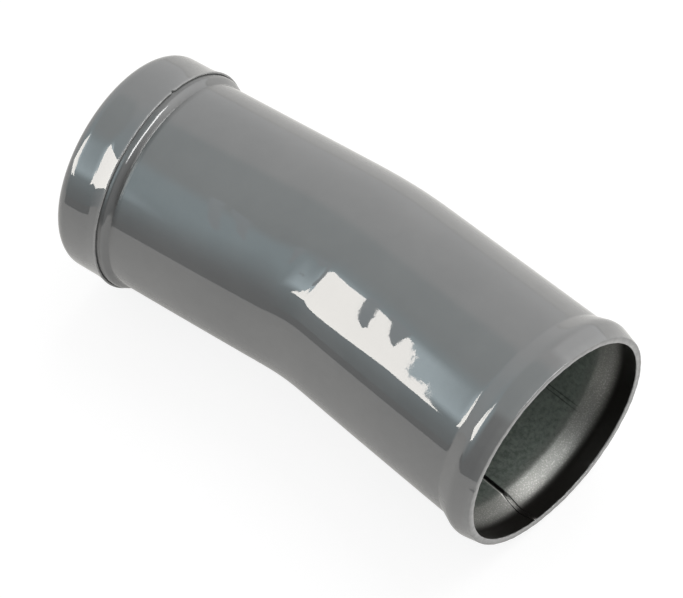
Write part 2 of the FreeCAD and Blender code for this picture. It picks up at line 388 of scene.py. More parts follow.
class NodeBoard:
    """A node tree with short calls to add and join its nodes."""

    def __init__(self, tree: bpy.types.NodeTree) -> None:
        """Empties the tree."""
        self.tree = tree
        tree.nodes.clear()

    def add(self, kind: str, inputs: dict[Any, Any] | None = None, **settings: Any) -> bpy.types.Node:
        """Adds a node.

        Args:
            kind: the node's type name.
            inputs: values for its sockets, or the sockets that feed them.
            settings: properties of the node itself.

        Returns:
            The node.
        """
        node = self.tree.nodes.new(kind)
        for key, value in settings.items():
            setattr(node, key, value)
        for key, value in (inputs or {}).items():
            if isinstance(value, bpy.types.NodeSocket):
                self.tree.links.new(value, node.inputs[key])
            else:
                node.inputs[key].default_value = value
        return node

    def ramp(self, factor: bpy.types.NodeSocket, stops: Sequence[tuple[float, Sequence[float]]]) -> Any:
        """Adds a colour ramp and gives its colour socket.

        Args:
            factor: the socket that picks the colour.
            stops: places from 0 to 1, each with its linear colour.

        Returns:
            The colour socket.
        """
        node = self.add("ShaderNodeValToRGB", {"Fac": factor})
        band = node.color_ramp
        while len(band.elements) < len(stops):
            band.elements.new(0.5)
        for element, (place, colour) in zip(band.elements, stops):
            element.position = place
            element.color = (*colour, 1.0)
        return node.outputs["Color"]

    def stretch(self, value: bpy.types.NodeSocket, low: float, high: float, out_low: float,
                out_high: float) -> Any:
        """Maps a range of a socket to another range, smoothly and held at both ends.

        Args:
            value: the socket to map.
            low: where its range starts.
            high: where its range ends.
            out_low: the result at the start.
            out_high: the result at the end.

        Returns:
            The result's socket.
        """
        node = self.add("ShaderNodeMapRange", {"Value": value, "From Min": low, "From Max": high,
                                               "To Min": out_low, "To Max": out_high},
                        interpolation_type="SMOOTHSTEP")
        return node.outputs["Result"]

    def mix(self, share: bpy.types.NodeSocket, start: Any, end: Any) -> Any:
        """Mixes two colours.

        Args:
            share: the socket with the second colour's share.
            start: the first colour, a socket or a plain colour.
            end: the second colour, likewise.

        Returns:
            The colour socket.
        """
        node = self.add("ShaderNodeMix", data_type="RGBA")
        self.tree.links.new(share, node.inputs[0])
        for socket, colour in zip(node.inputs[6:8], (start, end)):
            if isinstance(colour, bpy.types.NodeSocket):
                self.tree.links.new(colour, socket)
            else:
                socket.default_value = (*colour, 1.0)
        return node.outputs[2]

    def own(self, name: str, output: str = "Fac") -> Any:
        """Gives a socket of one of the piece's own attributes."""
        return self.add("ShaderNodeAttribute", attribute_name=name).outputs[output]

    def times(self, first: bpy.types.NodeSocket, second: bpy.types.NodeSocket) -> Any:
        """Multiplies two number sockets."""
        return self.add("ShaderNodeMath", {0: first, 1: second}, operation="MULTIPLY").outputs[0]

    def noise(self, place: bpy.types.NodeSocket, per_metre: Sequence[float], detail: float,
              harshness: float = 0.5) -> Any:
        """Adds noise with its own grain in each direction.

        Args:
            place: the vector socket that it follows.
            per_metre: grains in a metre along each direction of that vector.
            detail: finer layers of the noise.
            harshness: strength of those layers.

        Returns:
            The noise's number socket.
        """
        mapping = self.add("ShaderNodeMapping", {"Vector": place, "Scale": tuple(per_metre)})
        node = self.add("ShaderNodeTexNoise", {"Vector": mapping.outputs["Vector"], "Scale": 1.0,
                                               "Detail": detail, "Roughness": harshness})
        return node.outputs["Fac"]


def new_board(name: str) -> tuple[bpy.types.Material, NodeBoard]:
    """Makes a material with an empty node tree.

    Args:
        name: the material's name.

    Returns:
        The material and its board.
    """
    material = bpy.data.materials.new(name)
    material.use_nodes = True
    return material, NodeBoard(material.node_tree)


@dataclass(frozen=True)
class Enamel:
    """Glossy grey enamel on drawn steel: orange peel, faint drawing rings, painted shade with soiling in
    creases, rubbed edges with painted highlights.

    A grain is a count in a metre. Three of them are along the neck's line and across it.
    """

    light_grey: Triple = (0.172, 0.174, 0.173)
    dark_grey: Triple = (0.152, 0.155, 0.155)
    # Colour of the painted shade with soiling in the groove and at the ring's foot.
    shade_and_grime: Triple = (0.022, 0.021, 0.019)
    # Colour of rubbed edges, light enough to paint the edges' highlights too.
    worn_and_highlight: Triple = (0.50, 0.50, 0.49)
    index: float = 1.75
    gloss_low: float = 0.014
    gloss_high: float = 0.03
    shade_and_grime_dulling: float = 0.45
    thin_shade_and_grime: float = 0.75
    thin_wear_and_highlight: float = 0.6
    cloud_grain: float = 55.0
    film_grain: float = 140.0
    peel_grain: float = 620.0
    rub_grain: float = 600.0
    speck_grain: Triple = (1400.0, 500.0, 500.0)
    ring_grain: Triple = (240.0, 28.0, 28.0)
    peel_height: float = 2.4e-6
    ring_height: float = 5.0e-6

    def make(self) -> bpy.types.Material:
        """Builds the material on Object coordinates and the straightened neck's coordinates.

        Returns:
            The material.
        """
        material, board = new_board("grey_enamel_gloss")
        place = board.add("ShaderNodeTexCoord").outputs["Object"]
        straight = board.own("straightened", "Vector")
        cloud = board.noise(place, (self.cloud_grain,) * 3, detail=4.0, harshness=0.6)
        clean = board.ramp(cloud, list(zip(WIDE_SPAN, (self.dark_grey, self.light_grey))))
        speck = board.noise(straight, self.speck_grain, detail=3.0)
        # Painted shade with soiling: the groove and the ring's foot are darkened and dulled.
        shade_and_dirt = board.times(board.own("shade_and_grime"), board.stretch(speck, *NARROW_SPAN, self.thin_shade_and_grime, 1.0))
        rubbing = board.noise(straight, (self.rub_grain,) * 3, detail=3.0)
        # Painted highlight with scuffing: the lip's and the collar's edges are painted lighter.
        wear_and_highlight = board.times(board.own("wear_and_highlight"), board.stretch(rubbing, *WIDE_SPAN, self.thin_wear_and_highlight, 1.0))
        colour = board.mix(wear_and_highlight, board.mix(shade_and_dirt, clean, self.shade_and_grime), self.worn_and_highlight)
        film = board.noise(place, (self.film_grain,) * 3, detail=3.0)
        gloss = board.stretch(film, *WIDE_SPAN, self.gloss_low, self.gloss_high)
        dulled = board.add("ShaderNodeMath", {0: shade_and_dirt, 1: self.shade_and_grime_dulling, 2: gloss},
                           operation="MULTIPLY_ADD")
        ring = board.noise(straight, self.ring_grain, detail=2.0)
        ringed = board.add("ShaderNodeBump", {"Height": ring, "Distance": self.ring_height, "Strength": 1.0})
        peel = board.noise(place, (self.peel_grain,) * 3, detail=2.0)
        peeled = board.add("ShaderNodeBump", {"Height": peel, "Distance": self.peel_height, "Strength": 1.0,
                                              "Normal": ringed.outputs["Normal"]})
        skin = board.add("ShaderNodeBsdfPrincipled", {
            "Base Color": colour, "Roughness": dulled.outputs[0], "IOR": self.index,
            "Normal": peeled.outputs["Normal"]})
        board.add("ShaderNodeOutputMaterial", {"Surface": skin.outputs["BSDF"]})
        return material


@dataclass(frozen=True)
class BoreFilm:
    """The bare, dull bore: grainy coating, a hollow painted lighter with painted glints, a painted shade by
    the lip and the weld seam.

    The hollow's start and end and the painted flank shade's are stations in metres, and a grain is a count in
    a metre.
    """

    coating: Triple = (0.310, 0.350, 0.316)
    thin_coating: Triple = (0.180, 0.206, 0.184)
    # Ground and fleck colours of the hollow's painted glints.
    hollow: Triple = (0.27, 0.27, 0.255)
    painted_glint: Triple = (0.52, 0.51, 0.48)
    # Colour of the painted shade on the flank inside the lip.
    painted_flank_shade: Triple = (0.020, 0.017, 0.015)
    seam: Triple = (0.010, 0.010, 0.009)
    glint: Triple = (0.75, 0.74, 0.70)
    hollow_span: Pair = (0.0650, 0.0702)
    flank_shade_span: Pair = (0.0714, 0.0750)
    metal: float = 0.6
    index: float = 1.5
    wall_roughness: float = 0.40
    seam_roughness: float = 0.2
    seam_span: Pair = (0.2, 0.8)
    coating_grain: float = 900.0
    painted_glint_grain: float = 2600.0
    painted_glint_span: Pair = (0.50, 0.78)
    grain_height: float = 1.5e-5

    def make(self) -> bpy.types.Material:
        """Builds the material, with the seam and its glint marked by the piece's own attributes.

        Returns:
            The material.
        """
        material, board = new_board("bore_film")
        place = board.add("ShaderNodeTexCoord").outputs["Object"]
        mark = board.own("seam_mark")
        straight = board.own("straightened", "Vector")
        station = board.add("ShaderNodeSeparateXYZ", {"Vector": straight}).outputs["X"]
        grain = board.noise(place, (self.coating_grain,) * 3, detail=4.0, harshness=0.65)
        speckle = board.ramp(grain, list(zip(NARROW_SPAN, (self.thin_coating, self.coating))))
        # Painted glints: the bead's hollow is painted lighter, with bright flecks.
        fleck = board.noise(place, (self.painted_glint_grain,) * 3, detail=2.0, harshness=0.6)
        painted_glints = board.ramp(fleck, list(zip(self.painted_glint_span, (self.hollow, self.painted_glint))))
        inside = board.stretch(station, *self.hollow_span, 0.0, 1.0)
        # Painted shade: the bore darkens towards the lip, where its flank faces away from the mouth.
        edge = board.stretch(station, *self.flank_shade_span, 0.0, 1.0)
        walls = board.mix(edge, board.mix(inside, speckle, painted_glints), self.painted_flank_shade)
        colour = board.mix(board.own("seam_glint"), board.mix(mark, walls, self.seam), self.glint)
        gloss = board.stretch(mark, *self.seam_span, self.wall_roughness, self.seam_roughness)
        grained = board.add("ShaderNodeBump", {"Height": grain, "Distance": self.grain_height,
                                               "Strength": 1.0})
        skin = board.add("ShaderNodeBsdfPrincipled", {
            "Base Color": colour, "Roughness": gloss, "Metallic": self.metal, "IOR": self.index,
            "Normal": grained.outputs["Normal"]})
        board.add("ShaderNodeOutputMaterial", {"Surface": skin.outputs["BSDF"]})
        return material


@dataclass
class NeckTube:
    """The bent tube: its ring behind the collar, hose bead, cut lip and weld seam.

    Lengths are in millimetres, turns, spreads and slopes in degrees.
    """

    path: NeckPath
    radius: float = 30.0
    wall: float = 1.5
    near_swell: float = 0.13
    inner_end: float = -61.7
    end_rounding: float = 0.2
    swell_radius: float = 30.6
    flare_station: float = -52.8
    flare_rounding: float = 3.0
    land_station: float = -50.05
    land_radius: float = 31.50
    land_rounding: float = 2.0
    ring_station: float = -48.35
    ring_radius: float = 31.46
    ring_rounding: float = 1.8
    ring_foot: float = -46.75
    ring_foot_rounding: float = 0.5
    ring_hollow: float = 0.9
    ring_hollow_rounding: float = 1.0
    ring_hollow_foot_rounding: float = 3.0
    swell_hollow: float = 0.6
    bead_slope: float = 16.0
    bead_back_slope: float = 20.5
    bead_setback: float = 5.45
    bead_foot_rounding: float = 2.5
    bead_top_rounding: float = 4.4
    bead_top_trim: float = 0.11
    bead_crest_rounding: float = 5.0
    hollow_rounding: float = 5.5
    lip_rise: float = 0.35
    lip_wall: float = 1.8
    lip_outer_rounding: float = 0.3
    lip_inner_rounding: float = 0.25
    lip_chamfer: Pair = (0.4, 0.17)
    lip_wander: float = 0.05
    lip_waves: tuple[int, ...] = (3, 7, 19, 41, 67)
    lip_wander_reach: float = 1.2
    flattening: float = 0.0129
    flattening_reach: float = 22.0
    widening: float = 0.3
    crease: SoftMark = SoftMark(-1.6, -38.0, 1.5, 10.0, 0.03)
    step_station: float = 15.3
    step_reach: float = 4.5
    step_height: float = 0.19
    step_tail: float = 45.0
    step_turn: float = -40.0
    step_spread: float = 19.0
    seam_turn: float = 94.1
    seam_width: float = 1.4
    seam_height: float = 0.12
    seam_rim: float = 0.16
    seam_fade: Pair = (68.5, 2.5)
    seam_fading: float = 0.9
    glint_shift: float = 0.62
    glint_width: float = 0.12
    score_turns: Pair = (152.9, 155.2)
    score_spread: float = 0.35
    score_fade: Pair = (69.5, 3.0)
    score_strength: float = 0.6
    burr_turns: tuple[float, ...] = (94.5, 109.6, 111.4, 135.0, 170.4)
    burr_height: float = 0.25
    burr_spread: float = 0.8
    burr_reach: float = 0.5
    chip_turn: float = -5.0
    chip_depth: float = 0.35
    chip_spread: float = 1.0
    chip_reach: float = 0.6
    groove_span: Pair = (-50.2, -48.5)
    groove_fade: float = 0.2
    groove_shade_and_grime: float = 0.45
    # Painted shade with soiling at the ring's foot, in two soft patches round the neck.
    foot_shades_and_grime: tuple[SoftMark, ...] = (SoftMark(-46.7, -58.0, 0.65, 36.0, 0.9),
                                    SoftMark(-46.7, -27.0, 0.65, 19.0, 0.4))
    wear_and_highlight_reach: float = 0.4
    face_wear_and_highlight: float = 0.22
    wear_and_highlight_radius: float = 29.3
    wear_and_highlight_fade: float = 0.6
    columns: int = 285

    def corners(self) -> list[Corner]:
        """Lists the wall's profile, outside from the collar to the lip and back along the bore.

        Returns:
            The corners in order.
        """
        bead_tan = math.tan(math.radians(self.bead_slope))
        lip = self.path.lip_station
        lip_radius = self.radius + self.lip_rise
        lip_bore = lip_radius - self.lip_wall
        chamfer_length, chamfer_rise = self.lip_chamfer
        crest = lip - self.bead_setback
        crest_radius = lip_radius + self.bead_setback * bead_tan
        top_radius = crest_radius - self.bead_top_trim
        foot = crest - (top_radius - self.radius) / math.tan(math.radians(self.bead_back_slope))
        inner_foot = crest - (crest_radius - self.radius) / bead_tan
        bore = self.radius - self.wall
        slant = self.wall / math.cos(math.radians(self.bead_slope))
        foot_shift = (slant - self.wall) / bead_tan
        return [
            Corner(self.inner_end, self.swell_radius, self.end_rounding),
            Corner(self.flare_station, self.swell_radius, self.flare_rounding),
            Corner(self.land_station, self.land_radius, self.land_rounding, step=0.8),
            Corner(self.ring_station, self.ring_radius, self.ring_rounding, step=0.8),
            Corner(self.ring_foot, self.radius, self.ring_foot_rounding, step=1.2),
            Corner(foot, self.radius, self.bead_foot_rounding),
            Corner(crest, top_radius, self.bead_top_rounding),
            Corner(lip, lip_radius, self.lip_outer_rounding),
            Corner(lip, lip_bore, self.lip_inner_rounding),
            Corner(lip - chamfer_length, lip_bore + chamfer_rise, 0.0, Side.BORE),
            Corner(crest, crest_radius - slant, self.bead_crest_rounding, Side.BORE),
            Corner(inner_foot + foot_shift, bore, self.hollow_rounding, Side.BORE, step=3.0),
            Corner(self.ring_foot, bore, self.ring_hollow_foot_rounding, Side.BORE),
            Corner(self.ring_station, bore + self.ring_hollow, self.ring_hollow_rounding, Side.BORE),
            Corner(self.flare_station, bore + self.swell_hollow, self.flare_rounding, Side.BORE),
            Corner(self.inner_end, bore + self.swell_hollow, self.end_rounding),
        ]

    def bend(self, station: np.ndarray, turn: np.ndarray, outline: np.ndarray) -> np.ndarray:
        """Gives the radii that the bending leaves.

        The swell past the bend rises by 3 t² - 2 t³ with t along the bend. The radius is then multiplied by
        1 - k (cos² turn - w sin² turn (1 - sin turn)), with k a bell about the bend's middle and w the
        widening. It loses a faint crease where the bend starts and a low step past its end, tanh in a bell.

        Args:
            station: the grid's stations.
            turn: its turns.
            outline: its radii in the profile.

        Returns:
            The radii.
        """
        share = self.path.along_bend(station)
        radius = outline + self.near_swell * share * share * (3.0 - 2.0 * share)
        bend_middle = self.path.bend_start + self.path.bend_length / 2.0
        bell = bump(station, bend_middle, self.flattening_reach)
        widening = self.widening * np.sin(turn) ** 2 * (1.0 - np.sin(turn))
        radius *= 1.0 - self.flattening * bell * (np.cos(turn) ** 2 - widening)
        radius -= self.crease.at(station, turn)
        past_bend = station - self.step_station
        step = np.tanh(past_bend / self.step_reach) * bump(past_bend, 0.0, self.step_tail)
        return radius - self.step_height * step * turn_bump(turn, self.step_turn, self.step_spread)

    def weld(self, station: np.ndarray, turn: np.ndarray, in_bore: np.ndarray) -> tuple[np.ndarray, ...]:
        """Gives the weld seam in the bore and its marks.

        The ridge is its height times exp(-(2 distance / width)⁴). In the bead's hollow only the seam's rims
        are dark, and the scores stop before it.

        Args:
            station: the grid's stations.
            turn: its turns.
            in_bore: which rows are in the bore.

        Returns:
            The ridge's height, the dark marks and the glint beside the seam.
        """
        distance = (turn - math.radians(self.seam_turn)) * self.radius
        ridge = np.exp(-(2.0 * distance / self.seam_width) ** 4) * in_bore
        fade_start, fade_length = self.seam_fade
        in_hollow = held((station - fade_start) / fade_length)
        rims = bump(np.abs(distance), self.seam_width / 2.0, self.seam_rim)
        score_end, score_length = self.score_fade
        scores = sum(turn_bump(turn, place, self.score_spread) for place in self.score_turns)
        scores = scores * held((score_end - station) / score_length)
        dark = ridge * (1.0 - self.seam_fading * in_hollow) + rims * in_hollow + self.score_strength * scores
        beside = bump(distance, -self.glint_shift * self.seam_width, self.glint_width)
        glint = beside * (1.0 - in_hollow) * in_bore
        return self.seam_height * ridge, held(dark) * in_bore, glint

    def damage(self, station: np.ndarray, turn: np.ndarray, outline: np.ndarray) -> np.ndarray:
        """Gives how far the burrs and the chip go into the bore and into the lip.

        Each is a bell round the neck times exp(-(d / reach)²), with d the distance from the lip's inner or
        outer edge in the profile.

        Args:
            station: the grid's stations.
            turn: its turns.
            outline: its radii in the profile.

        Returns:
            The loss of radius.
        """
        past_lip = (station - self.path.lip_station) ** 2
        from_outside = outline - self.radius - self.lip_rise
        inner_edge = np.exp(-(past_lip + (from_outside + self.lip_wall) ** 2) / self.burr_reach ** 2)
        outer_edge = np.exp(-(past_lip + from_outside ** 2) / self.chip_reach ** 2)
        burrs = sum(turn_bump(turn, place, self.burr_spread) for place in self.burr_turns)
        chip = turn_bump(turn, self.chip_turn, self.chip_spread)
        return self.burr_height * burrs * inner_edge + self.chip_depth * chip * outer_edge

    def soil(self, station: np.ndarray, turn: np.ndarray,
             outline: np.ndarray) -> tuple[np.ndarray, np.ndarray]:
        """Gives the painted shade with soiling in the groove and at the ring's foot, and the lip edge's
        scuffing with painted highlight.

        Args:
            station: the grid's stations.
            turn: its turns.
            outline: its radii in the profile.

        Returns:
            Painted shade with soiling, and scuffing with painted highlight, each from 0 to 1.
        """
        groove_start, groove_end = self.groove_span
        into_groove = held((station - groove_start) / self.groove_fade)
        out_of_groove = held((groove_end - station) / self.groove_fade)
        # Painted shade with soiling in the groove beside the collar and at the ring's foot.
        foot_shade_and_grime = sum(mark.at(station, turn) for mark in self.foot_shades_and_grime)
        shade_and_grime = held(self.groove_shade_and_grime * into_groove * out_of_groove + foot_shade_and_grime)
        # Painted highlight with scuffing: the lip's face, and most of all its inner edge, are painted
        # lighter.
        at_lip = held(1.0 - (self.path.lip_station - station) / self.wear_and_highlight_reach)
        inner = held((self.wear_and_highlight_radius - outline) / self.wear_and_highlight_fade)
        return shade_and_grime, at_lip * (self.face_wear_and_highlight + (1.0 - self.face_wear_and_highlight) * inner)

    def surface(self) -> tuple[Profile, np.ndarray, np.ndarray, np.ndarray, dict[str, np.ndarray]]:
        """Works out the shell's grid: the bent profile less the seam's ridge and the lip's damage.

        The lip's edge wanders along the line.

        Returns:
            Profile, turns, stations, radii and the marks of seam, glint, painted shade with soiling, and
            scuffing with painted highlight, all but the first two one per grid point.
        """
        profile = Profile.through(self.corners(), arc_step=6.0)
        seam = FineSpot(math.radians(self.seam_turn), reach=0.065, columns=37)
        scores = FineSpot(math.radians(sum(self.score_turns) / 2.0), reach=0.045, columns=25)
        turns = close_up(self.columns, [seam, scores])
        station, turn = np.broadcast_arrays(profile.station[:, None], turns[None, :])
        outline = np.broadcast_to(profile.radius[:, None], turn.shape)
        in_bore = (profile.side == Side.BORE.value)[:, None]
        ridge, seam_mark, seam_glint = self.weld(station, turn, in_bore)
        radius = self.bend(station, turn, outline) - ridge - self.damage(station, turn, outline)
        near_lip = held(1.0 - (self.path.lip_station - station) / self.lip_wander_reach)
        station = station + self.lip_wander * waves(turn, self.lip_waves, seed=4) * near_lip
        shade_and_grime, wear_and_highlight = self.soil(station, turn, outline)
        outside = 1.0 - in_bore
        marks = {"seam_mark": seam_mark, "seam_glint": seam_glint, "shade_and_grime": shade_and_grime * outside,
                 "wear_and_highlight": wear_and_highlight * outside}
        return profile, turns, station, radius, marks

    def build(self, stance: Stance) -> bpy.types.Object:
        """Makes the tube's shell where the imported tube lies.

        Args:
            stance: how the neck lies.

        Returns:
            The piece.
        """
        profile, turns, station, radius, fields = self.surface()
        turn = np.broadcast_to(turns[None, :], station.shape)
        points, fields["straightened"] = wrap(self.path, stance, station, turn, radius)
        piece = make_shell("neck_tube_shell", points, profile, turns, fields)
        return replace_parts(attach(piece, "root"), "neck_tube")

    def dress(self, piece: bpy.types.Object, outside: bpy.types.Material, bore: bpy.types.Material) -> None:
        """Gives the outside its enamel and the bore its thin film."""
        piece.data.materials.append(outside)
        piece.data.materials.append(bore)


@dataclass
class FillerCollar:
    """The stamped collar: a skirt with a thin flared edge and a turned-in face.

    Lengths are in millimetres, the nick's turn and spread in degrees.
    """

    path: NeckPath
    wall: float = 0.9
    length: float = 14.7
    bore_radius: float = 30.65
    turn_rounding: float = 2.8
    flare_length: float = 3.0
    flare_rise: float = 0.665
    flare_rounding: float = 20.0
    flare_inner_rounding: float = 4.0
    edge_wall: float = 0.6
    edge_rounding: float = 0.25
    edge_inner_rounding: float = 0.12
    edge_wander: float = 0.03
    edge_waves: tuple[int, ...] = (2, 5, 11, 29, 53)
    edge_wander_reach: float = 0.8
    # Painted highlight with scuffing on the flared edge's outer rounding.
    edge_wear_and_highlight: float = 0.6
    edge_wear_and_highlight_reach: float = 0.45
    edge_wear_and_highlight_fade: float = 0.3
    mouth_radius: float = 26.5
    mouth_rounding: float = 0.3
    mouth_inner_rounding: float = 0.15
    nick_turn: float = -82.3
    nick_depth: float = 0.45
    nick_spread: float = 0.8
    columns: int = 345

    def corners(self) -> list[Corner]:
        """Lists the sheet's profile from the flared edge along the inside, round the face and back.

        Returns:
            The corners in order.
        """
        face = -self.path.far_length
        edge = face + self.length
        flare = edge - self.flare_length
        skirt = self.bore_radius + self.wall
        edge_radius = skirt + self.flare_rise
        return [
            Corner(edge, edge_radius, self.edge_rounding, step=0.8),
            Corner(edge, edge_radius - self.edge_wall, self.edge_inner_rounding, step=0.8),
            Corner(flare, self.bore_radius, self.flare_inner_rounding),
            Corner(face + self.wall, self.bore_radius, self.turn_rounding),
            Corner(face + self.wall, self.mouth_radius, self.mouth_inner_rounding, step=0.8),
            Corner(face, self.mouth_radius, self.mouth_rounding),
            Corner(face, skirt, self.turn_rounding + self.wall, step=0.8),
            Corner(flare, skirt, self.flare_rounding, step=0.8),
        ]

    def build(self, stance: Stance) -> bpy.types.Object:
        """Makes the collar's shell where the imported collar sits.

        The edge's stations wander by a few hundredths of a millimetre, as a trimmed stamping does, and one
        small nick is a bell cut out of them.

        Args:
            stance: how the neck lies.

        Returns:
            The piece.
        """
        profile = Profile.through(self.corners(), arc_step=5.0)
        nick = FineSpot(math.radians(self.nick_turn) % FULL_TURN, reach=0.04, columns=17)
        turns = close_up(self.columns, [nick])
        station, turn = np.broadcast_arrays(profile.station[:, None], turns[None, :])
        edge = self.length - self.path.far_length
        near_edge = held(1.0 - (edge - station) / self.edge_wander_reach)
        wander = self.edge_wander * waves(turn, self.edge_waves, seed=9)
        wander -= self.nick_depth * turn_bump(turn, self.nick_turn, self.nick_spread)
        station = station + wander * near_edge
        radius = np.broadcast_to(profile.radius[:, None], station.shape)
        points, straight = wrap(self.path, stance, station, turn, radius)
        # Painted highlight with scuffing: the flared edge's outer rounding is painted lighter.
        outer = held((radius - self.bore_radius - self.wall) / self.edge_wear_and_highlight_fade)
        wear_and_highlight = self.edge_wear_and_highlight * held(1.0 - (edge - station) / self.edge_wear_and_highlight_reach) * outer
        fields = {"straightened": straight, "wear_and_highlight": wear_and_highlight}
        piece = make_shell("filler_collar_shell", points, profile, turns, fields)
        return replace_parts(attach(piece, "root"), "filler_collar")

    def dress(self, piece: bpy.types.Object, outside: bpy.types.Material) -> None:
        """Gives the collar its enamel."""
        piece.data.materials.append(outside)


def stage_mesh(name: str, points: np.ndarray, faces: Sequence[Sequence[int]],
               glimpse: Glimpse) -> bpy.types.Object:
    """Makes a stage object from points and faces.

    Args:
        name: the object's name.
        points: its points in metres.
        faces: the point numbers of each face.
        glimpse: which rays see it.

    Returns:
        The object.
    """
    mesh = bpy.data.meshes.new(name)
    mesh.from_pydata(points.tolist(), [], faces)
    card = bpy.data.objects.new(name, mesh)
    bpy.context.scene.collection.objects.link(card)
    if glimpse is Glimpse.REFLECTIONS:
        card.visible_camera = False
        card.visible_diffuse = False
        card.visible_shadow = False
    return card


def plain_card(name: str, corners: np.ndarray, glimpse: Glimpse) -> bpy.types.Object:
    """Makes a stage card of one face from its corners in order."""
    return stage_mesh(name, corners, [tuple(range(len(corners)))], glimpse)


def skyward(azimuth: float, rise: float) -> np.ndarray:
    """Gives the direction at an azimuth, from +Y towards +X, and a rise above the floor, in degrees."""
    turn, lift = math.radians(azimuth), math.radians(rise)
    return np.array([math.sin(turn) * math.cos(lift), math.cos(turn) * math.cos(lift), math.sin(lift)])


def grid_faces(rows: int, columns: int) -> list[list[int]]:
    """Lists the four-sided faces of an open grid whose points go row by row."""
    first = (np.arange(rows - 1)[:, None] * columns + np.arange(columns - 1)).reshape(-1, 1)
    return (first + np.array([0, columns, columns + 1, 1])).tolist()


# Half the dome's light at its foot and halfway up, by azimuth in degrees, and how it changes with the rise.
FOOT_COLOURS = [
    (-180.0, (0.02, 0.02, 0.02)), (-163.0, (0.02, 0.025, 0.03)), (-150.0, (0.04, 0.08, 0.09)),
    (-143.0, (0.16, 0.19, 0.20)), (-135.0, (0.40, 0.42, 0.42)), (-90.0, (0.52, 0.53, 0.53)),
    (-60.0, (0.52, 0.52, 0.52)), (-15.0, (0.53, 0.53, 0.53)), (10.0, (0.80, 0.80, 0.80)),
    (45.0, (0.95, 0.95, 0.95)), (75.0, (0.45, 0.45, 0.45)), (105.0, (0.06, 0.06, 0.06)),
    (180.0, (0.02, 0.02, 0.02))]
MIDDLE_COLOURS = [
    (-180.0, (0.05, 0.06, 0.06)), (-168.0, (0.22, 0.31, 0.34)), (-157.0, (0.42, 0.60, 0.66)),
    (-120.0, (0.36, 0.51, 0.56)), (-90.0, (0.40, 0.48, 0.51)), (-60.0, (0.50, 0.52, 0.525)),
    (-15.0, (0.53, 0.53, 0.53)), (10.0, (0.90, 0.90, 0.90)), (45.0, (0.95, 0.95, 0.95)),
    (75.0, (0.45, 0.45, 0.45)), (105.0, (0.10, 0.10, 0.10)), (180.0, (0.05, 0.06, 0.06))]
CLIMB = [(0.0, 0.0), (3.0, 0.03), (9.0, 0.12), (15.0, 0.33), (20.0, 0.52), (26.0, 0.76), (37.0, 1.0)]


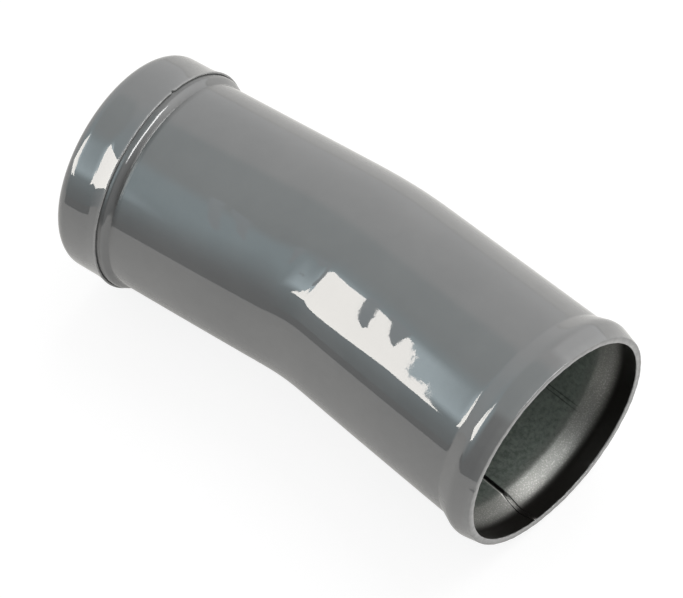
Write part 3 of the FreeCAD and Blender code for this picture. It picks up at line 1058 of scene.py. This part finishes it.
@dataclass
class StudioStage:
    """A pale floor, a soft overhead light and cards that the enamel reflects, in metres and degrees."""

    floor_reach: float = 3.0
    floor_glow: float = 0.84
    floor_grey: float = 0.22
    mirror_glow: float = 0.25
    mirror_grey: float = 0.72
    mirror_tint: Triple = (1.0, 0.985, 0.955)
    bounce_grey: float = 0.85
    sky_light: float = 0.71
    softbox_power: float = 5.5
    softbox_size: float = 0.9
    softbox_place: Triple = (0.10, 0.68, 0.88)
    window_azimuth: float = -135.0
    window_distance: float = 0.85
    window_glow: float = 8.8
    window_tint: Triple = (1.0, 0.975, 0.93)
    window_outline: Outline = (
        (-0.262, 0.337), (-0.20, 0.35), (-0.14, 0.27), (0.0, 0.25), (0.22, 0.22), (0.22, 0.58), (0.155, 0.80),
        (0.11, 0.92), (0.11, 1.06), (0.02, 1.0), (-0.07, 0.82), (-0.125, 0.68), (-0.17, 0.54), (-0.203, 0.45),
        (-0.183, 0.53), (-0.198, 0.50), (-0.178, 0.57), (-0.193, 0.54), (-0.163, 0.64), (-0.203, 0.52),
        (-0.232, 0.412))
    flag_distance: float = 0.14
    flag_tint: Triple = (0.85, 1.02, 1.10)
    flag_outlines: tuple[Outline, ...] = (
        ((0.012, 0.250), (0.0, 0.225), (-0.021, 0.181), (-0.0345, 0.152), (-0.040, 0.145), (-0.038, 0.156),
         (-0.022, 0.194), (-0.003, 0.233), (0.008, 0.258)),
        ((0.004, 0.258), (-0.007, 0.236), (-0.016, 0.223), (-0.035, 0.185), (-0.047, 0.165),
         (-0.0445, 0.1745), (-0.033, 0.204), (-0.024, 0.226), (-0.012, 0.252)))
    haze_distance: float = 0.87
    haze_glow: float = 2.95
    haze_tint: Triple = (0.80, 1.0, 1.08)
    haze_lean: float = 0.447
    haze_fade: Pair = (-0.565, -0.44)
    haze_rise: Pair = (0.36, 0.52)
    haze_crown: Pair = (0.90, 1.20)
    haze_outline: Outline = (
        (-0.43, 0.30), (0.10, 0.30), (0.20, 1.22), (-0.02, 1.22))
    shade_ends: Pair = (-143.0, -260.0)
    shade_distance: float = 0.36
    shade_height: float = 0.045
    shade_tint: Triple = (0.05, 0.06, 0.062)
    shade_columns: int = 40
    strip_ends: Pair = (30.0, 132.0)
    strip_rises: Pair = (46.0, 65.0)
    strip_distance: float = 1.6
    strip_glow: float = 10.0
    strip_columns: int = 30
    dome_radius: float = 2.5
    dome_foot: float = -2.0
    dome_rows: int = 24
    dome_columns: int = 73
    dome_strength: float = 2.0
    dome_crown: Pair = (50.0, 60.0)
    dome_turnover: Pair = (0.26, 0.48)
    dome_near_top: Triple = (0.33, 0.39, 0.40)
    dome_far_top: Triple = (0.525, 0.525, 0.525)

    def lit_rays(self, board: NodeBoard) -> Any:
        """Adds up the rays that see the background: camera, reflected and transmitted ones.

        Args:
            board: the board of the material or the world.

        Returns:
            The number socket, held between 0 and 1.
        """
        rays = board.add("ShaderNodeLightPath").outputs
        first = board.add("ShaderNodeMath", {0: rays["Is Camera Ray"], 1: rays["Is Glossy Ray"]},
                          operation="ADD")
        both = board.add("ShaderNodeMath", {0: first.outputs[0], 1: rays["Is Transmission Ray"]},
                         operation="ADD", use_clamp=True)
        return both.outputs[0]

    def paper(self, board: NodeBoard, grey: float, glow: float, tint: Triple) -> Any:
        """Adds a matt paper that glows a little.

        Args:
            board: the material's board.
            grey: how much light the paper gives back.
            glow: its own light.
            tint: the colour of both.

        Returns:
            Its shader socket.
        """
        matt = board.add("ShaderNodeBsdfDiffuse", {"Color": (*(grey * part for part in tint), 1.0)})
        shine = board.add("ShaderNodeEmission", {"Color": (*tint, 1.0), "Strength": glow})
        return board.add("ShaderNodeAddShader", {0: matt.outputs[0], 1: shine.outputs[0]}).outputs[0]

    def lay_floor(self) -> None:
        """Lays the pale floor, which shows white with a soft shadow, and a deeper one in reflections."""
        square = np.array([(-1.0, -1.0, 0.0), (1.0, -1.0, 0.0), (1.0, 1.0, 0.0), (-1.0, 1.0, 0.0)])
        floor = plain_card("pale_floor", square * self.floor_reach, Glimpse.EVERYTHING)
        material, board = new_board("pale_floor_paper")
        rays = board.add("ShaderNodeLightPath").outputs
        bounce = board.add("ShaderNodeBsdfDiffuse", {"Color": (self.bounce_grey,) * 3 + (1.0,)})
        white = self.paper(board, self.floor_grey, self.floor_glow, (1.0, 1.0, 1.0))
        mirrored = self.paper(board, self.mirror_grey, self.mirror_glow, self.mirror_tint)
        shown = board.add("ShaderNodeMixShader", {0: self.lit_rays(board), 1: bounce.outputs[0], 2: white})
        mixed = board.add("ShaderNodeMixShader", {0: rays["Is Glossy Ray"], 1: shown.outputs[0], 2: mirrored})
        board.add("ShaderNodeOutputMaterial", {"Surface": mixed.outputs[0]})
        floor.data.materials.append(material)

    def light_sky(self) -> None:
        """Sets an even soft sky that shows white behind the object."""
        world = bpy.data.worlds.new("soft_sky")
        bpy.context.scene.world = world
        world.use_nodes = True
        board = NodeBoard(world.node_tree)
        soft = board.add("ShaderNodeBackground", {"Color": (1.0, 1.0, 1.0, 1.0), "Strength": self.sky_light})
        white = board.add("ShaderNodeBackground", {"Color": (1.0, 1.0, 1.0, 1.0), "Strength": 1.0})
        mixed = board.add("ShaderNodeMixShader", {0: self.lit_rays(board), 1: soft.outputs[0],
                                                  2: white.outputs[0]})
        board.add("ShaderNodeOutputWorld", {"Surface": mixed.outputs[0]})

    def hang_softbox(self) -> None:
        """Hangs the wide light over the far side of the neck."""
        light = bpy.data.lights.new("softbox", "AREA")
        light.shape = "SQUARE"
        light.size = self.softbox_size
        light.energy = self.softbox_power
        lamp = bpy.data.objects.new("softbox", light)
        bpy.context.scene.collection.objects.link(lamp)
        lamp.location = self.softbox_place
        lamp.rotation_mode = "QUATERNION"
        lamp.rotation_quaternion = (-Vector(self.softbox_place)).to_track_quat("-Z", "Y")
        lamp.visible_camera = False
        lamp.visible_glossy = False

    def card_light(self, card: bpy.types.Object, colour: Triple, strength: float) -> None:
        """Gives a card an even light.

        Args:
            card: the card.
            colour: the light's colour.
            strength: its strength.
        """
        material, board = new_board(card.name + "_light")
        glow = board.add("ShaderNodeEmission", {"Color": (*colour, 1.0), "Strength": strength})
        board.add("ShaderNodeOutputMaterial", {"Surface": glow.outputs[0]})
        card.data.materials.append(material)

    def upright_card(self, name: str, distance: float,
                     outline: Sequence[Pair]) -> bpy.types.Object:
        """Stands a card across the window's azimuth.

        Args:
            name: the card's name.
            distance: how far it stands from the object's middle.
            outline: its corners, each across and above the floor.

        Returns:
            The card.
        """
        ahead, aside = skyward(self.window_azimuth, 0.0), skyward(self.window_azimuth + 90.0, 0.0)
        across, height = np.array(outline).T[..., None]
        return plain_card(name, ahead * distance + across * aside + height * UP, Glimpse.REFLECTIONS)

    def stand_window(self) -> None:
        """Stands the bright ragged panel that the enamel reflects, and a bluish haze behind its edge."""
        panel = self.upright_card("window_panel", self.window_distance, self.window_outline)
        self.card_light(panel, self.window_tint, self.window_glow)
        for number, outline in enumerate(self.flag_outlines):
            flag = self.upright_card(f"window_flag_{number}", self.flag_distance, outline)
            self.card_light(flag, self.flag_tint, 1.0)
        self.hang_haze()

    def hang_haze(self) -> None:
        """Hangs the haze behind the panel, which fades along a leaning line, at its foot and at its crown."""
        haze = self.upright_card("window_haze", self.haze_distance, self.haze_outline)
        material, board = new_board("window_haze_light")
        place = board.add("ShaderNodeTexCoord").outputs["Object"]
        lean = skyward(self.window_azimuth + 90.0, 0.0) - self.haze_lean * UP
        slant = board.add("ShaderNodeVectorMath", {0: place, 1: tuple(lean)}, operation="DOT_PRODUCT")
        fade = board.stretch(slant.outputs["Value"], *self.haze_fade, 0.0, 1.0)
        low = board.add("ShaderNodeSeparateXYZ", {"Vector": place}).outputs["Z"]
        rise = board.stretch(low, *self.haze_rise, 0.0, 1.0)
        crown = board.stretch(low, *self.haze_crown, 1.0, 0.0)
        shown = board.times(board.times(fade, rise), crown)
        clear = board.add("ShaderNodeBsdfTransparent")
        glow = board.add("ShaderNodeEmission", {"Color": (*self.haze_tint, 1.0), "Strength": self.haze_glow})
        mixed = board.add("ShaderNodeMixShader", {0: shown, 1: clear.outputs[0], 2: glow.outputs[0]})
        board.add("ShaderNodeOutputMaterial", {"Surface": mixed.outputs[0]})
        haze.data.materials.append(material)

    def stand_shade(self) -> None:
        """Stands the low dark wall that ends the floor in the reflections, round the front of the object."""
        around = np.linspace(*self.shade_ends, self.shade_columns)
        foot = np.stack([skyward(azimuth, 0.0) for azimuth in around]) * self.shade_distance
        points = np.stack([foot, foot + self.shade_height * UP])
        faces = grid_faces(2, len(around))
        shade = stage_mesh("low_shade", points.reshape(-1, 3), faces, Glimpse.REFLECTIONS)
        self.card_light(shade, self.shade_tint, 1.0)

    def hang_strip(self) -> None:
        """Hangs the bright strip that the small edges facing the camera's right reflect."""
        around = np.linspace(*self.strip_ends, self.strip_columns)
        ways = np.array([[skyward(azimuth, rise) for azimuth in around] for rise in self.strip_rises])
        points = ways.reshape(-1, 3) * self.strip_distance
        strip = stage_mesh("rim_strip", points, grid_faces(2, len(around)), Glimpse.REFLECTIONS)
        self.card_light(strip, (1.0, 1.0, 1.0), self.strip_glow)

    def raise_dome(self) -> None:
        """Raises the dome that only reflections see: white at the far side, dim and bluish at the near one.

        A point of the dome is radius times (cos b sin a, cos b cos a, sin b), with a round the floor and b
        from just under it to the top. Its colour follows a at the foot and halfway up, and how far it is
        along +Y at the top.
        """
        around = np.linspace(0.0, FULL_TURN, self.dome_columns)
        rise = np.radians(np.linspace(self.dome_foot, 90.0, self.dome_rows))
        level = np.cos(rise)[:, None]
        parts = np.broadcast_arrays(level * np.sin(around), level * np.cos(around), np.sin(rise)[:, None])
        points = np.stack(parts, axis=-1) * self.dome_radius
        faces = grid_faces(*points.shape[:2])
        dome = stage_mesh("reflection_dome", points.reshape(-1, 3), faces, Glimpse.REFLECTIONS)
        material, board = new_board("dome_light")
        place = board.add("ShaderNodeTexCoord").outputs["Object"]
        way = board.add("ShaderNodeVectorMath", {0: place}, operation="NORMALIZE").outputs["Vector"]
        split = board.add("ShaderNodeSeparateXYZ", {"Vector": way}).outputs
        turn = board.add("ShaderNodeMath", {0: split["X"], 1: split["Y"]}, operation="ARCTAN2").outputs[0]
        spread = board.add("ShaderNodeMapRange", {"Value": turn, "From Min": -math.pi, "From Max": math.pi})
        share = spread.outputs[0]
        lift = board.add("ShaderNodeMath", {0: split["Z"]}, operation="ARCSINE").outputs[0]
        raised = board.add("ShaderNodeMath", {0: lift, 1: math.pi / 2.0}, operation="DIVIDE", use_clamp=True)
        height = raised.outputs[0]
        foot, middle = (board.ramp(share, [((azimuth + 180.0) / 360.0, colour)
                                           for azimuth, colour in colours])
                        for colours in (FOOT_COLOURS, MIDDLE_COLOURS))
        far_side = board.stretch(split["Y"], *self.dome_turnover, 0.0, 1.0)
        top = board.ramp(far_side, [(0.0, self.dome_near_top), (1.0, self.dome_far_top)])
        climb = board.ramp(height, [(rise / 90.0, (share_up,) * 3) for rise, share_up in CLIMB])
        lower = board.mix(climb, foot, middle)
        crown_start, crown_full = (rise / 90.0 for rise in self.dome_crown)
        crown = board.stretch(height, crown_start, crown_full, 0.0, 1.0)
        glow = board.add("ShaderNodeEmission", {"Color": board.mix(crown, lower, top),
                                                "Strength": self.dome_strength})
        board.add("ShaderNodeOutputMaterial", {"Surface": glow.outputs[0]})
        dome.data.materials.append(material)

    def build(self) -> None:
        """Builds the whole stage."""
        self.lay_floor()
        self.light_sky()
        self.hang_softbox()
        self.stand_window()
        self.stand_shade()
        self.hang_strip()
        self.raise_dome()


@dataclass
class PhotoCamera:
    """The camera at the photograph's viewing angle. Azimuth 0 looks along +Y and 90 along -X."""

    target: Triple = (0.00300, -0.00187, 0.0310)
    azimuth: float = 46.52
    elevation: float = 55.06
    roll: float = 7.28
    distance: float = 0.5011
    lens: float = 103.497
    sensor: float = 36.0
    clip: Pair = (0.01, 50.0)

    def build(self) -> None:
        """Makes the camera and sets it as the scene's."""
        turn, lift, lean = (math.radians(angle) for angle in (self.azimuth, self.elevation, self.roll))
        back = Vector((math.sin(turn) * math.cos(lift), -math.cos(turn) * math.cos(lift), math.sin(lift)))
        level = Vector((math.cos(turn), math.sin(turn), 0.0))
        above = back.cross(level)
        right = level * math.cos(lean) - above * math.sin(lean)
        above = back.cross(right)
        lens = bpy.data.cameras.new("photo_camera")
        lens.lens = self.lens
        lens.sensor_width = self.sensor
        lens.sensor_fit = "HORIZONTAL"
        lens.clip_start, lens.clip_end = self.clip
        camera = bpy.data.objects.new("photo_camera", lens)
        bpy.context.scene.collection.objects.link(camera)
        place = Vector(self.target) + back * self.distance
        camera.matrix_world = Matrix.Translation(place) @ Matrix((right, above, back)).transposed().to_4x4()
        bpy.context.scene.camera = camera


@dataclass
class FillerNeck:
    """The whole neck: the tube and its collar, dressed."""

    path: NeckPath = field(default_factory=NeckPath)

    def build(self, record: dict[str, Any]) -> list[bpy.types.Object]:
        """Builds both pieces and gives them their finishes.

        Args:
            record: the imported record.

        Returns:
            The pieces.
        """
        tube = NeckTube(self.path)
        collar = FillerCollar(self.path)
        stance = Stance.from_record(record, self.path, collar.wall)
        enamel = Enamel().make()
        tube_piece = tube.build(stance)
        tube.dress(tube_piece, enamel, BoreFilm().make())
        collar_piece = collar.build(stance)
        collar.dress(collar_piece, enamel)
        return [tube_piece, collar_piece]


def main() -> None:
    """Builds the camera, the neck and the stage, and reports each piece."""
    logging.basicConfig(level=logging.INFO)
    PhotoCamera().build()
    for piece in FillerNeck().build(frame["record"]):
        LOG.info("%s: %d points, %d faces", piece.name, len(piece.data.vertices), len(piece.data.polygons))
    StudioStage().build()
    bpy.context.scene.view_settings.view_transform = "Standard"


if __name__ == "__main__":
    main()
